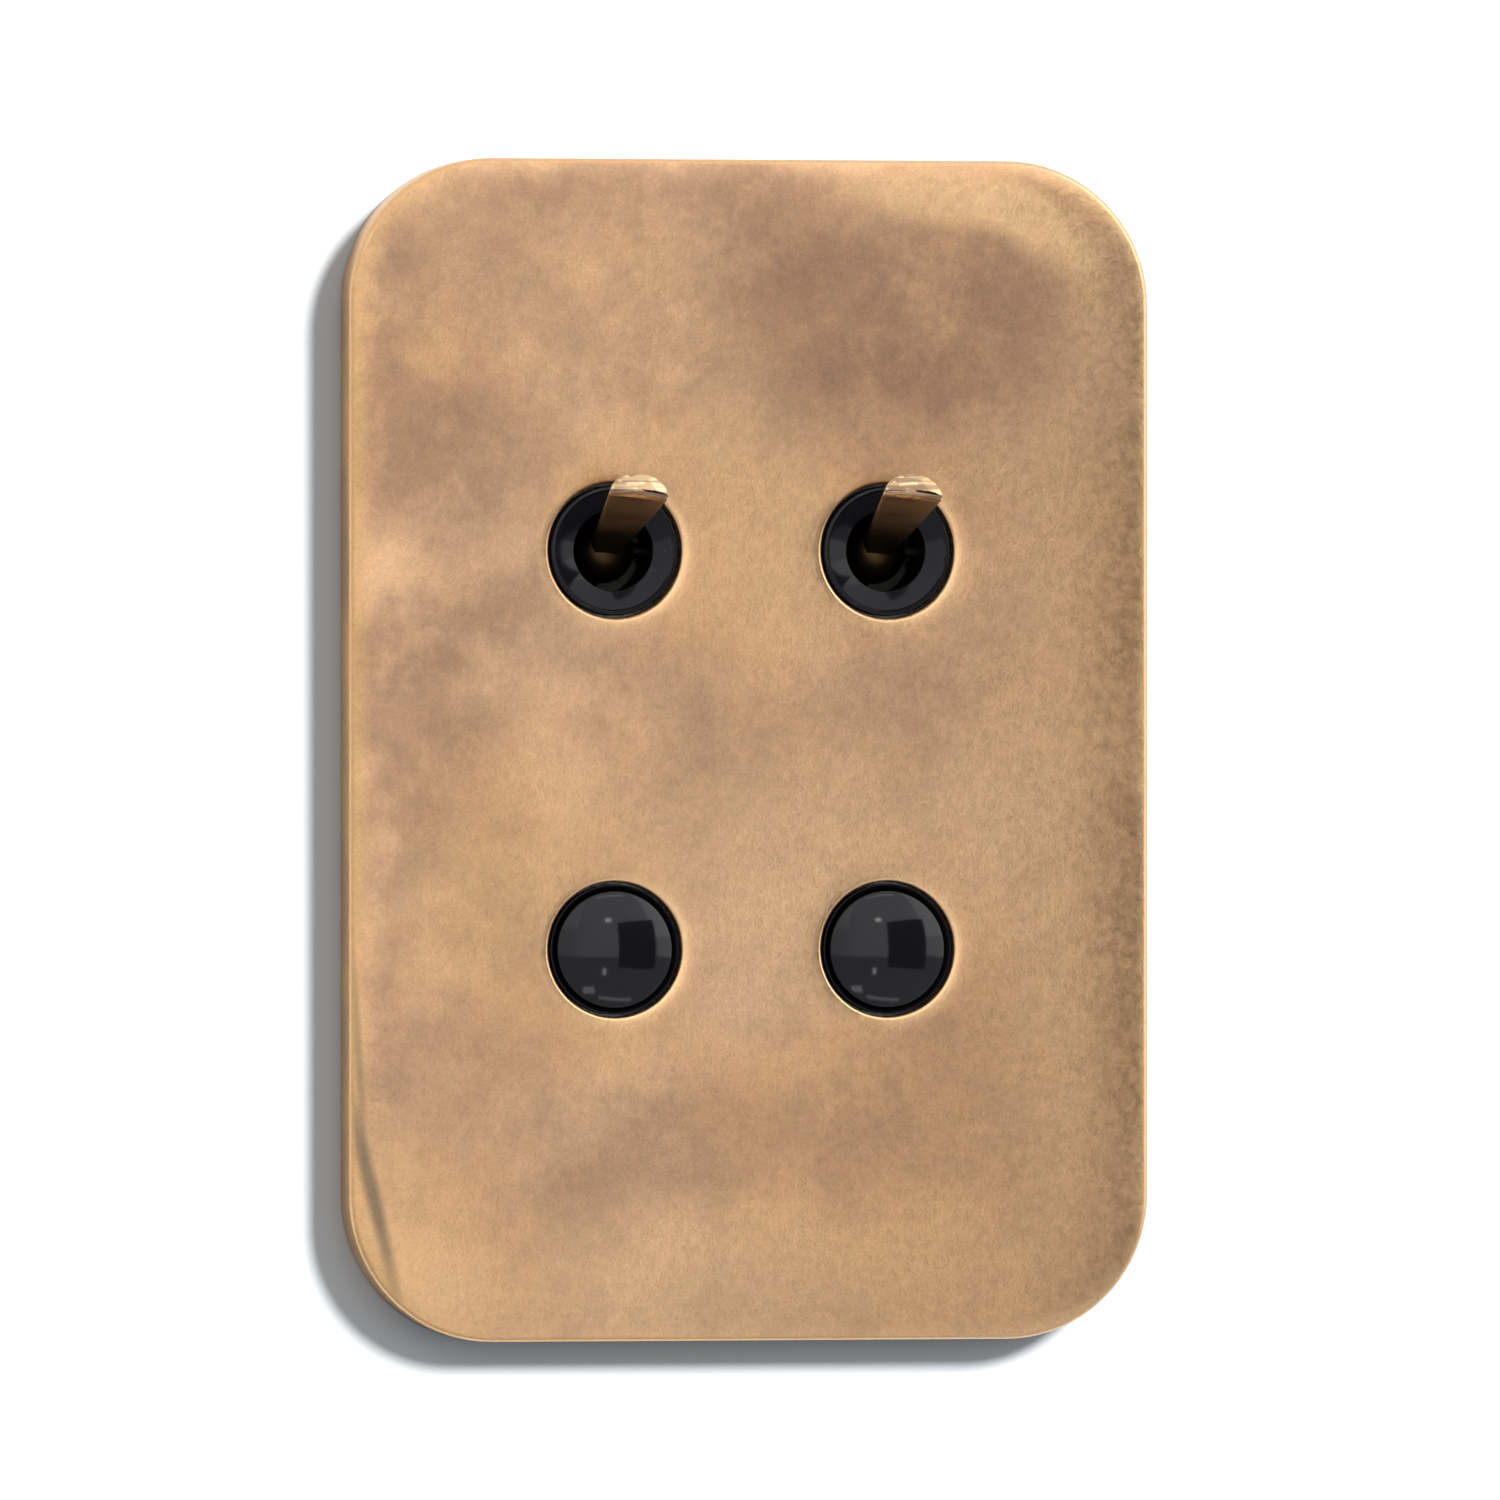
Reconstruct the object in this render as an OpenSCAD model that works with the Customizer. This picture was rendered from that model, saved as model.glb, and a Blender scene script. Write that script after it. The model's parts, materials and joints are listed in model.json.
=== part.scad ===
// Wall switch with two toggle levers above two push-buttons, behind a screwless brass faceplate.
// The wall is the plane y = 0. The front faces -Y, +Z is up, and the origin is the plate's centre on
// the wall. Each mechanism is drawn about its own hole's axis, then moved to its place in the grid.

/* [Faceplate] */
// Width of the faceplate
plate_w = 83.2; // [80:0.1:90]
// Height of the faceplate
plate_h = 120.65; // [118:0.05:128]
// How far the plate's front stands off the wall
plate_t = 6; // [5.5:0.1:7]
// Radius of the plate's corners
corner_r = 14.8; // [10:0.1:16]
// Radius that rounds the plate's front edge
edge_r = 0.6; // [0.3:0.1:2.5]
// Thickness of the plate's front skin
skin_t = 2.6; // [2:0.1:2.6]
// Thickness of the rim that meets the wall
rim_t = 2; // [1.5:0.1:2.5]
// Radius of the four holes through the plate
hole_r = 6.9; // [6.9:0.05:7.5]
// Chamfer round each hole
hole_chamfer = 0.35; // [0.1:0.05:0.6]

/* [Grid of mechanisms] */
// Distance between the two columns
pitch_x = 28.4; // [26:0.1:30]
// Distance between the two rows
pitch_z = 40.7; // [38:0.1:44]

/* [Toggle levers] */
// Length of the lever from its pivot to its tip
lever_len = 21.4; // [18:0.1:24]
// Tilt of the lever either side of straight out
lever_tilt = 15.3; // [15:0.1:20]
// Radius of the lever's bar at the ball
neck_r = 1.45; // [1.4:0.05:1.7]
// Radius of the lever's bar at its tip
tip_r = 3.05; // [2.5:0.05:3.4]
// Radius of the domed end
tip_dome_r = 8; // [6:0.5:12]
// Height of the upper flat over the lever's axis, at the pivot and at the tip
flat_above = [1.3, 2.2];
// Depth of the lower flat under the lever's axis, at the pivot and at the tip
flat_below = [1.25, 0.35];
// Turn of the flats about the lever's axis
lever_roll = 6; // [-8:1:8]
// Radius of the pivot ball
ball_r = 3.3; // [3:0.1:3.4]
// Depth of the pivot behind the wall plane
pivot_y = 1.5; // [1.3:0.1:1.8]
// Length of the tail from the pivot to the centre of its ball end
tail_len = 9.5; // [9:0.1:10]

/* [Bezels and collars] */
// Outer radius of the bezel rings and collars
bezel_r = 6.65; // [6.4:0.05:6.7]
// How far their faces sit behind the plate's front
bezel_recess = 0.4; // [0:0.05:1]
// Radius of the hole that the lever works in
bezel_hole_r = 4.05; // [4.05:0.05:4.2]

/* [Push-buttons] */
// Radius of the button cap
cap_r = 5.98; // [5.6:0.02:6]
// Height of the cap's dome
cap_rise = 1.4; // [1:0.1:2]
// How far the button goes in
button_travel = 2; // [1.5:0.1:2]

/* [Wall fixing] */
// Distance between the two box screws
box_pitch = 83.3; // [83.3:0.1:84]
// Width of the grid frame
frame_w = 68; // [60:1:74]
// Height of the grid frame
frame_h = 108; // [104:1:112]

/* [Hidden] */
NODES = [
  "faceplate", "strike_discs", "magnets", "grid_frame", "module_screws", "box_screws",
  "earth_screw", "earth_washer",
  "toggle_bezel_left", "toggle_bezel_right",
  "lock_washer_left", "lock_washer_right",
  "toggle_bush_left", "toggle_bush_right",
  "toggle_lever_left", "toggle_lever_right",
  "pivot_pin_left", "pivot_pin_right",
  "contact_carriage_left", "contact_carriage_right",
  "carriage_contact_left", "carriage_contact_right",
  "detent_spring_left", "detent_spring_right",
  "toggle_housing_left", "toggle_housing_right",
  "toggle_base_left", "toggle_base_right",
  "toggle_terminals_left", "toggle_terminals_right",
  "toggle_terminal_screws_left", "toggle_terminal_screws_right",
  "button_cap_left", "button_cap_right",
  "button_collar_left", "button_collar_right",
  "button_nut_left", "button_nut_right",
  "button_stem_left", "button_stem_right",
  "button_contact_left", "button_contact_right",
  "button_spring_left", "button_spring_right",
  "button_housing_left", "button_housing_right",
  "button_base_left", "button_base_right",
  "button_terminals_left", "button_terminals_right",
  "button_terminal_screws_left", "button_terminal_screws_right"
];
node = "all";

$fn = 96;
cut = 0.1;
fit = 0.05;
sides = [["left", -1], ["right", 1]];

// Depths, from the front of the plate to the back of the frame
front_y = -plate_t;
skin_y = front_y + skin_t;
face_y = front_y + bezel_recess;
frame_t = 1.5;
frame_y = -frame_t;
frame_corner_r = 8;

// Grid frame's fixings
box_screw_r = 1.75;
box_neck_r = 2.1;
box_head_r = 3.4;
box_screw_end = 22;
module_screw_r = 1.1;
module_screw_z = 12.6;
earth_r = 1.5;
magnet_r = 4;
magnet_x = 26;
magnet_z = 45;
strike_t = 0.4;

// Toggle bush, bezel and lock washer
bush_r = 5.9;
bush_bore_r = 4.6;
bush_body_r = 8;
bush_back_y = 5;
washer_t = 0.5;
lip_r = 6.1;
cone_depth = 0.7;
cup_depth = 1;
pin_r = 0.8;
pin_half = 7.6;

// Lever's tail and the carriage that it moves
tail_r = 0.9;
tail_ball_r = 1.6;
carriage_shift = tail_len * sin(lever_tilt);
carriage_x = 6;
carriage_z = 5.5;
carriage_front = 9.3;
carriage_back = 16;
slot_back = 13.4;
bridge_t = 0.6;
bridge_x = 2.5;
stud_z = 4;
stud_r = 1.2;
stud_t = 0.8;

// Housings and bases, the same for all four mechanisms
module_w = 20.6;
module_h = 30;
module_d = 22;
module_wall = 1.6;
base_t = 3;
base_back = module_d + base_t;
boss_r = 2.2;
boss_end = 7;

// Detent leaves inside the toggle housings
detent_t = 0.4;
detent_x = module_w / 2 - module_wall - detent_t;
detent_rib_r = detent_x - carriage_x - 0.3;

// Terminals
terminal_z = 7.3;
pad_y = 17.7;
pad_t = 0.6;
pad_z = 1.9;
leg_t = 0.8;
leg_x = 1.5;
pillar_x = 3;
pillar_z = 2.9;
pillar_back = base_back + 6;
wire_r = 1.3;
wire_y = base_back + 2.6;
clamp_r = 1.25;
clamp_head_r = 1.8;

// Push-button
collar_bore_r = cap_r + 0.17;
collar_floor = -2.3;
thread_end = 4.6;
stem_r = 1.9;
stem_fit = 0.07;
cap_rim_y = face_y - 0.15;
cap_apex_y = cap_rim_y - cap_rise;
cap_back_y = collar_floor - button_travel - 0.2;
dome_r = (cap_r * cap_r + cap_rise * cap_rise) / (2 * cap_rise);
stem_front = cap_rim_y + 0.3;
stem_back = 16;
flange_r = 3.6;
flange_t = 1.5;
contact_y = 11;
contact_t = 0.8;
contact_stud = 0.6;
contact_z = 6;
button_pad_y = contact_y + contact_t + contact_stud + button_travel + 0.2;
seat_y = 20;
spring_r = 2.75;
wire = 0.28;
turns = 6;
spring_sides = 8;
spring_steps = 20;

// ---- shapes shared by several pieces ----

module rod(r, y0, y1) {
  translate([0, y0, 0]) rotate([-90, 0, 0]) cylinder(r = r, h = y1 - y0);
}

module taper(r0, r1, y0, y1) {
  translate([0, y0, 0]) rotate([-90, 0, 0]) cylinder(r1 = r0, r2 = r1, h = y1 - y0);
}

module tube(r_out, r_in, y0, y1) {
  difference() {
    rod(r_out, y0, y1);
    rod(r_in, y0 - cut, y1 + cut);
  }
}

module cross_bore(r, half) {
  rotate([0, 90, 0]) cylinder(r = r, h = 2 * half, center = true);
}

module block(low, high) {
  translate(low) cube(high - low);
}

// A turned piece about the Y axis, from its outline as [radius, y] points
module turned(outline) {
  rotate([-90, 0, 0]) rotate_extrude() polygon(outline);
}

module rounded_rect(w, h, r) {
  square([w - 2 * r, h], center = true);
  square([w, h - 2 * r], center = true);
  for (x = [-1, 1], z = [-1, 1])
    translate([x * (w / 2 - r), z * (h / 2 - r)]) circle(r);
}

module slab(w, h, r, y0, y1) {
  translate([0, y1, 0]) rotate([90, 0, 0]) linear_extrude(y1 - y0) rounded_rect(w, h, r);
}

// A screw's head with a straight slot, its front at y0
module slotted_head(r, y0, y1, slot_w, slot_depth) {
  difference() {
    rod(r, y0, y1);
    block([-r - cut, y0 - cut, -slot_w / 2], [r + cut, y0 + slot_depth, slot_w / 2]);
  }
}

// ---- places in the grid ----

module at_hole(x_sign, z_sign) {
  translate([x_sign * pitch_x / 2, 0, z_sign * pitch_z / 2]) children();
}

module at_each_hole() {
  for (x = [-1, 1], z = [-1, 1]) at_hole(x, z) children();
}

module at_module_screws() {
  at_each_hole() for (z = [-1, 1]) translate([0, 0, z * module_screw_z]) children();
}

module at_box_screws() {
  for (z = [-1, 1]) translate([0, 0, z * box_pitch / 2]) children();
}

module at_magnets() {
  for (x = [-1, 1], z = [-1, 1]) translate([x * magnet_x, 0, z * magnet_z]) children();
}

// ---- faceplate and frame ----

// Half the plate's section: its front edge, at y = 0, is rounded by edge_r
module edge_section(half, depth) {
  square([half - edge_r, depth]);
  translate([0, edge_r]) square([half, depth - edge_r]);
  translate([half - edge_r, edge_r]) circle(edge_r);
}

// A bar whose two long front edges are rounded
module rounded_bar(w, h) {
  linear_extrude(h, center = true) {
    edge_section(w / 2, plate_t);
    mirror([1, 0]) edge_section(w / 2, plate_t);
  }
}

module plate_blank() {
  translate([0, front_y, 0]) {
    rounded_bar(plate_w, plate_h - 2 * corner_r);
    rotate([0, 90, 0]) rounded_bar(plate_h, plate_w - 2 * corner_r);
    for (x = [-1, 1], z = [-1, 1])
      translate([x * (plate_w / 2 - corner_r), 0, z * (plate_h / 2 - corner_r)])
        rotate([-90, 0, 0]) rotate_extrude() edge_section(corner_r, plate_t);
  }
}

module faceplate() {
  color("#c8a07a") difference() {
    plate_blank();
    slab(plate_w - 2 * rim_t, plate_h - 2 * rim_t, corner_r - rim_t, skin_y, cut);
    at_each_hole() {
      rod(hole_r, front_y - cut, skin_y + cut);
      taper(hole_r + hole_chamfer + cut, hole_r, front_y - cut, front_y + hole_chamfer);
    }
  }
}

module strike_discs() {
  color("#b9bcc0") at_magnets() rod(magnet_r + 0.5, skin_y, skin_y + strike_t);
}

module magnets() {
  color("#8d9094") at_magnets() rod(magnet_r, skin_y + strike_t, frame_y);
}

module grid_frame() {
  color("#a9adb2") difference() {
    slab(frame_w, frame_h, frame_corner_r, frame_y, 0);
    at_each_hole() rod(bush_r + 0.1, frame_y - cut, cut);
    at_module_screws() rod(module_screw_r + 0.2, frame_y - cut, cut);
    at_box_screws() rod(box_neck_r + 0.2, frame_y - cut, cut);
    rod(earth_r, frame_y - cut, cut);
  }
}

module module_screws() {
  color("#c9ccd0") at_module_screws() {
    slotted_head(2.2, frame_y - 1.3, frame_y, 0.6, 0.7);
    rod(module_screw_r, frame_y, boss_end - 1);
  }
}

module box_screws() {
  color("#c9ccd0") at_box_screws() {
    slotted_head(box_head_r, frame_y - 1.6, frame_y, 0.9, 0.9);
    rod(box_neck_r, frame_y, 0);
    rod(box_screw_r, 0, box_screw_end);
  }
}

module earth_washer() {
  color("#c8a24a") tube(3.4, earth_r + fit, 0, 0.8);
}

module earth_screw() {
  color("#3f7d48") {
    rod(earth_r, frame_y, 3);
    mirror([0, 1, 0]) slotted_head(3, -5, -3, 0.8, 0.9);
  }
}

// ---- toggle switch ----

module toggle_bezel() {
  seat = frame_y - washer_t;
  color("#17171a") turned([
    [bezel_r, seat],
    [bezel_r, face_y + 0.3],
    [bezel_r - 0.3, face_y],
    [lip_r, face_y],
    [bezel_hole_r, face_y + cone_depth],
    [bezel_hole_r, face_y + cup_depth],
    [bush_r + fit, face_y + cup_depth],
    [bush_r + fit, seat]
  ]);
}

module lock_washer() {
  teeth = 12;
  color("#a9adb2") difference() {
    tube(bezel_r - fit, bush_r + 0.1, frame_y - washer_t, frame_y);
    for (i = [0 : teeth - 1])
      rotate([0, i * 360 / teeth, 0])
        block([bezel_r - 0.35, frame_y - washer_t - cut, -0.4], [bezel_r + 1, frame_y + cut, 0.4]);
  }
}

module toggle_bush() {
  color("#3a3a3d") difference() {
    union() {
      rod(bush_r, face_y + cup_depth, 0);
      rod(bush_body_r, 0, bush_back_y);
    }
    rod(bush_bore_r, face_y, bush_back_y + cut);
    translate([0, pivot_y, 0]) cross_bore(pin_r, bush_body_r + cut);
  }
}

module pivot_pin() {
  color("#d0d2d6") translate([0, pivot_y, 0]) cross_bore(pin_r, pin_half);
}

// Distance from the lever's axis to a flat, at a distance along the lever from the pivot
function flat_at(flat, along) = flat[0] + (flat[1] - flat[0]) * along / lever_len;

// The bar, with a domed end and two flats that spread from the pivot to the tip
module lever_bar() {
  past = lever_len + 1;
  past_r = tip_r + (tip_r - neck_r) / (lever_len - ball_r / 2);
  rotate([0, lever_roll, 0]) intersection() {
    taper(past_r, neck_r, -past, -ball_r / 2);
    union() {
      translate([0, tip_dome_r - lever_len, 0]) sphere(tip_dome_r);
      rod(tip_r + 1, tip_dome_r - lever_len, 0);
    }
    rotate([90, 0, 90]) linear_extrude(2 * tip_r + 4, center = true) polygon([
      [0, -flat_below[0]], [-past, -flat_at(flat_below, past)],
      [-past, flat_at(flat_above, past)], [0, flat_above[0]]
    ]);
  }
}

// The lever lies along -Y here, with its pivot at the origin
module lever_blank() {
  difference() {
    union() {
      sphere(ball_r);
      lever_bar();
      rod(tail_r, ball_r / 2, tail_len);
      translate([0, tail_len, 0]) sphere(tail_ball_r);
    }
    cross_bore(pin_r + fit, ball_r + cut);
  }
}

module toggle_lever() {
  color("#d9b36c") translate([0, pivot_y, 0]) rotate([-lever_tilt, 0, 0]) lever_blank();
}

module contact_carriage() {
  color("#e8e2d0") translate([0, 0, -carriage_shift]) difference() {
    block([-carriage_x, carriage_front, -carriage_z], [carriage_x, carriage_back, carriage_z]);
    block(
      [-carriage_x - cut, carriage_front - cut, -tail_ball_r - fit],
      [carriage_x + cut, slot_back, tail_ball_r + fit]
    );
  }
}

module carriage_contact() {
  back = carriage_back + bridge_t;
  color("#b87348") translate([0, 0, -carriage_shift]) {
    block([-bridge_x, carriage_back, -carriage_z], [bridge_x, back, carriage_z]);
    for (z = [-stud_z, stud_z]) translate([0, 0, z]) rod(stud_r, back, back + stud_t);
  }
}

// A leaf against the housing's side wall, with a half-round rib that faces the carriage
module detent_spring() {
  color("#c9ccd0") {
    block([detent_x, 10, -9], [detent_x + detent_t, 14, 9]);
    intersection() {
      translate([detent_x, 0, 0]) rod(detent_rib_r, 10, 14);
      block([carriage_x, 10, -detent_rib_r], [detent_x + detent_t / 2, 14, detent_rib_r]);
    }
  }
}

// ---- housings, bases and terminals ----

module housing(front_hole_r) {
  inner_w = module_w - 2 * module_wall;
  inner_h = module_h - 2 * module_wall;
  difference() {
    union() {
      difference() {
        slab(module_w, module_h, 1.5, 0, module_d);
        slab(inner_w, inner_h, 0.8, module_wall, module_d + cut);
      }
      for (z = [-1, 1]) translate([0, 0, z * module_screw_z]) rod(boss_r, module_wall / 2, boss_end);
    }
    rod(front_hole_r, -cut, module_wall + cut);
    for (z = [-1, 1]) translate([0, 0, z * module_screw_z]) rod(module_screw_r, -cut, boss_end - 1);
  }
}

module toggle_housing() {
  color("#202126") housing(bush_body_r + 0.1);
}

module button_housing() {
  color("#202126") housing(bush_body_r + 0.3);
}

// A board that closes the housing, with a slot at each of the given heights for a terminal's leg
module base(leg_heights, rib_heights) {
  difference() {
    slab(module_w, module_h, 1.5, module_d, base_back);
    for (z = leg_heights)
      block([-leg_x - fit, module_d - cut, z - leg_t / 2 - fit], [leg_x + fit, base_back + cut, z + leg_t / 2 + fit]);
  }
  for (z = rib_heights) block([-6, base_back, z - 0.3], [6, base_back + 4, z + 0.3]);
}

module toggle_base() {
  color("#2b2c31") base([-terminal_z, 0, terminal_z], [-terminal_z / 2, terminal_z / 2]);
}

module button_base() {
  color("#2b2c31") {
    base([-terminal_z, terminal_z], [0]);
    tube(spring_r + 1.5, stem_r + 0.3, seat_y, module_d);
  }
}

// The pillar behind the base that a wire is clamped in, and the leg that reaches the contact
module pillar(leg_front) {
  block([-leg_x, leg_front, -leg_t / 2], [leg_x, base_back, leg_t / 2]);
  difference() {
    block([-pillar_x, base_back, -pillar_z], [pillar_x, pillar_back, pillar_z]);
    translate([0, wire_y, 0]) cross_bore(wire_r, pillar_x + cut);
    rod(clamp_r + fit, wire_y, pillar_back + cut);
  }
}

module toggle_terminals() {
  color("#c79a4b") for (z = [-terminal_z, 0, terminal_z])
    translate([0, 0, z]) {
      block([-bridge_x, pad_y, -pad_z], [bridge_x, pad_y + pad_t, pad_z]);
      pillar(pad_y + pad_t);
    }
}

module button_terminals() {
  color("#c79a4b") for (side = [0, 1])
    mirror([0, 0, side]) {
      block([-2, button_pad_y, contact_z - 1.4], [2, button_pad_y + pad_t, terminal_z + leg_t / 2]);
      translate([0, 0, terminal_z]) pillar(button_pad_y + pad_t);
    }
}

module clamp_screw() {
  rod(clamp_r, wire_y + wire_r + 0.3, pillar_back);
  mirror([0, 1, 0]) slotted_head(clamp_head_r, -pillar_back - 1.4, -pillar_back, 0.5, 0.7);
}

module toggle_terminal_screws() {
  color("#c9ccd0") for (z = [-terminal_z, 0, terminal_z]) translate([0, 0, z]) clamp_screw();
}

module button_terminal_screws() {
  color("#c9ccd0") for (z = [-terminal_z, terminal_z]) translate([0, 0, z]) clamp_screw();
}

// ---- push-button ----

module button_cap() {
  color("#141417") difference() {
    intersection() {
      rod(cap_r, cap_apex_y - cut, cap_back_y);
      translate([0, cap_apex_y + dome_r, 0]) sphere(dome_r);
    }
    rod(stem_r, stem_front, cap_back_y + cut);
  }
}

module button_collar() {
  bore = stem_r + stem_fit;
  color("#17171a") turned([
    [bezel_r, frame_y],
    [bezel_r, face_y + 0.3],
    [bezel_r - 0.3, face_y],
    [collar_bore_r, face_y],
    [collar_bore_r, collar_floor],
    [bore, collar_floor],
    [bore, thread_end],
    [bush_r, thread_end],
    [bush_r, frame_y]
  ]);
}

module button_nut() {
  color("#c79a4b") difference() {
    rotate([-90, 0, 0]) cylinder(r = bush_body_r, h = 2.5, $fn = 6);
    rod(bush_r + fit, -cut, 2.5 + cut);
  }
}

module button_stem() {
  flange_y = thread_end + 0.3;
  color("#e8e2d0") {
    rod(stem_r, stem_front, stem_back);
    rod(flange_r, flange_y, flange_y + flange_t);
    rod(stem_r + 0.7, flange_y + flange_t, contact_y);
  }
}

module button_contact() {
  back = contact_y + contact_t;
  color("#b87348") difference() {
    union() {
      block([-2.6, contact_y, -contact_z - 1.1], [2.6, back, contact_z + 1.1]);
      for (z = [-contact_z, contact_z]) translate([0, 0, z]) rod(1.1, back, back + contact_stud);
    }
    rod(stem_r + fit, contact_y - cut, back + cut);
  }
}

// The centre of the spring's wire at step i, and the ring of points round it
function spring_turn(i) = 360 * i / spring_steps;
function spring_y(i) = let (low = contact_y + contact_t + wire, high = seat_y - wire)
  low + (high - low) * i / (turns * spring_steps);
function spring_ring(i) = [
  for (j = [0 : spring_sides - 1])
    let (a = 360 * j / spring_sides, r = spring_r + wire * cos(a), t = spring_turn(i))
      [r * cos(t), spring_y(i) + wire * sin(a), r * sin(t)]
];

module button_spring() {
  last = turns * spring_steps;
  n = spring_sides;
  rings = [for (i = [0 : last]) each spring_ring(i)];
  walls = [
    for (i = [0 : last - 1], j = [0 : n - 1])
      [i * n + j, i * n + (j + 1) % n, (i + 1) * n + (j + 1) % n, (i + 1) * n + j]
  ];
  ends = [[for (j = [n - 1 : -1 : 0]) j], [for (j = [0 : n - 1]) last * n + j]];
  color("#d0d2d6") polyhedron(points = rings, faces = concat(walls, ends));
}

// ---- the assembly ----

function shown(name) = node == "all" || node == name;

if (shown("faceplate")) faceplate();
if (shown("strike_discs")) strike_discs();
if (shown("magnets")) magnets();
if (shown("grid_frame")) grid_frame();
if (shown("module_screws")) module_screws();
if (shown("box_screws")) box_screws();
if (shown("earth_screw")) earth_screw();
if (shown("earth_washer")) earth_washer();

for (side = sides) at_hole(side[1], 1) {
  if (shown(str("toggle_bezel_", side[0]))) toggle_bezel();
  if (shown(str("lock_washer_", side[0]))) lock_washer();
  if (shown(str("toggle_bush_", side[0]))) toggle_bush();
  if (shown(str("toggle_lever_", side[0]))) toggle_lever();
  if (shown(str("pivot_pin_", side[0]))) pivot_pin();
  if (shown(str("contact_carriage_", side[0]))) contact_carriage();
  if (shown(str("carriage_contact_", side[0]))) carriage_contact();
  if (shown(str("detent_spring_", side[0]))) detent_spring();
  if (shown(str("toggle_housing_", side[0]))) toggle_housing();
  if (shown(str("toggle_base_", side[0]))) toggle_base();
  if (shown(str("toggle_terminals_", side[0]))) toggle_terminals();
  if (shown(str("toggle_terminal_screws_", side[0]))) toggle_terminal_screws();
}

for (side = sides) at_hole(side[1], -1) {
  if (shown(str("button_cap_", side[0]))) button_cap();
  if (shown(str("button_collar_", side[0]))) button_collar();
  if (shown(str("button_nut_", side[0]))) button_nut();
  if (shown(str("button_stem_", side[0]))) button_stem();
  if (shown(str("button_contact_", side[0]))) button_contact();
  if (shown(str("button_spring_", side[0]))) button_spring();
  if (shown(str("button_housing_", side[0]))) button_housing();
  if (shown(str("button_base_", side[0]))) button_base();
  if (shown(str("button_terminals_", side[0]))) button_terminals();
  if (shown(str("button_terminal_screws_", side[0]))) button_terminal_screws();
}
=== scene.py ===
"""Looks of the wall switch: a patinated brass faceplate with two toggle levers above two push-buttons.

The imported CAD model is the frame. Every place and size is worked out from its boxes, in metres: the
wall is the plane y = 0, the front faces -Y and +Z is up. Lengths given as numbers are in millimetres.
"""

import json
import math

import bmesh
import bpy
from mathutils import Matrix, Vector, noise
from mathutils.geometry import delaunay_2d_cdt

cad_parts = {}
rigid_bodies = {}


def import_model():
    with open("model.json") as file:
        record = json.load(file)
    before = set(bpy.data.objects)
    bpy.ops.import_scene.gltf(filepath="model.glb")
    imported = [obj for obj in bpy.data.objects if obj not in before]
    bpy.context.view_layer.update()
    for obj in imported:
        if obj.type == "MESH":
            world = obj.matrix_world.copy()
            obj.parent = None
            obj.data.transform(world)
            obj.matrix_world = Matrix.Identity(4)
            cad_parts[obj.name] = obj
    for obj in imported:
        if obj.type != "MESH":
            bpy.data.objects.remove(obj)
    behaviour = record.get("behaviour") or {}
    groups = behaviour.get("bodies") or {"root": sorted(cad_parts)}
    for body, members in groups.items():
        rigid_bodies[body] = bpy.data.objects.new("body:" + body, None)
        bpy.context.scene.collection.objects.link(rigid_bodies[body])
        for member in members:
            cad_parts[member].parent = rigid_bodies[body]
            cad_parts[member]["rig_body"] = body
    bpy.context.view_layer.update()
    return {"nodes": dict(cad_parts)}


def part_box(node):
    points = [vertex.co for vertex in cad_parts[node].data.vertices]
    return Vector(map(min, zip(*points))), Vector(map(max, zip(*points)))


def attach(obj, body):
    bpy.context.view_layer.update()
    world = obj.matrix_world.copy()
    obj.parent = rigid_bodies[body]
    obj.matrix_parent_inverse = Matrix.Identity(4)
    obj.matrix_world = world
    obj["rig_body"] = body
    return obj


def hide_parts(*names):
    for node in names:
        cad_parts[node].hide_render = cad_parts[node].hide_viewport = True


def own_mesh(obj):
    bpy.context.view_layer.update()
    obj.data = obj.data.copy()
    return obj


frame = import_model()
MM = 0.001
SIDES = ("left", "right")
ROOT = "switch_frame"
NODES = frame["nodes"]


# ---------------------------------------------------------------- sizes, from the frame

def middle(node):
    """The centre of a CAD node's box."""
    low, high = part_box(node)
    return (low + high) / 2


PLATE_LOW, PLATE_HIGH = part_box("faceplate")
PLATE_W = PLATE_HIGH.x - PLATE_LOW.x
PLATE_H = PLATE_HIGH.z - PLATE_LOW.z
FRONT = PLATE_LOW.y
WALL_SIDE = PLATE_HIGH.y
CORNER = 14.8 * MM
RIM = 2.0 * MM
SKIN = FRONT + 2.6 * MM
HOLE_R = 6.9 * MM
HOLES = [middle(f"{kind}_{side}") for kind in ("toggle_bezel", "button_collar") for side in SIDES]

BEZEL_LOW, BEZEL_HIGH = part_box("toggle_bezel_left")
BEZEL_R = (BEZEL_HIGH.x - BEZEL_LOW.x) / 2
FACE = BEZEL_LOW.y
PIVOT_Y = 1.5 * MM
LEVER_TILT = math.radians(15.3)
LEVER_ROLL = math.radians(6)
LEVER_LENGTH = 21.4 * MM
NECK_R, TIP_R, BALL_R, DOME_R = 1.45 * MM, 3.05 * MM, 3.3 * MM, 8 * MM
FLAT_ABOVE = (1.3 * MM, 2.2 * MM)
FLAT_BELOW = (1.25 * MM, 0.05 * MM)


# ---------------------------------------------------------------- mesh helpers

def new_object(name, points, faces):
    mesh = bpy.data.meshes.new(name)
    mesh.from_pydata([tuple(p) for p in points], [], faces)
    obj = bpy.data.objects.new(name, mesh)
    bpy.context.scene.collection.objects.link(obj)
    return obj


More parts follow.
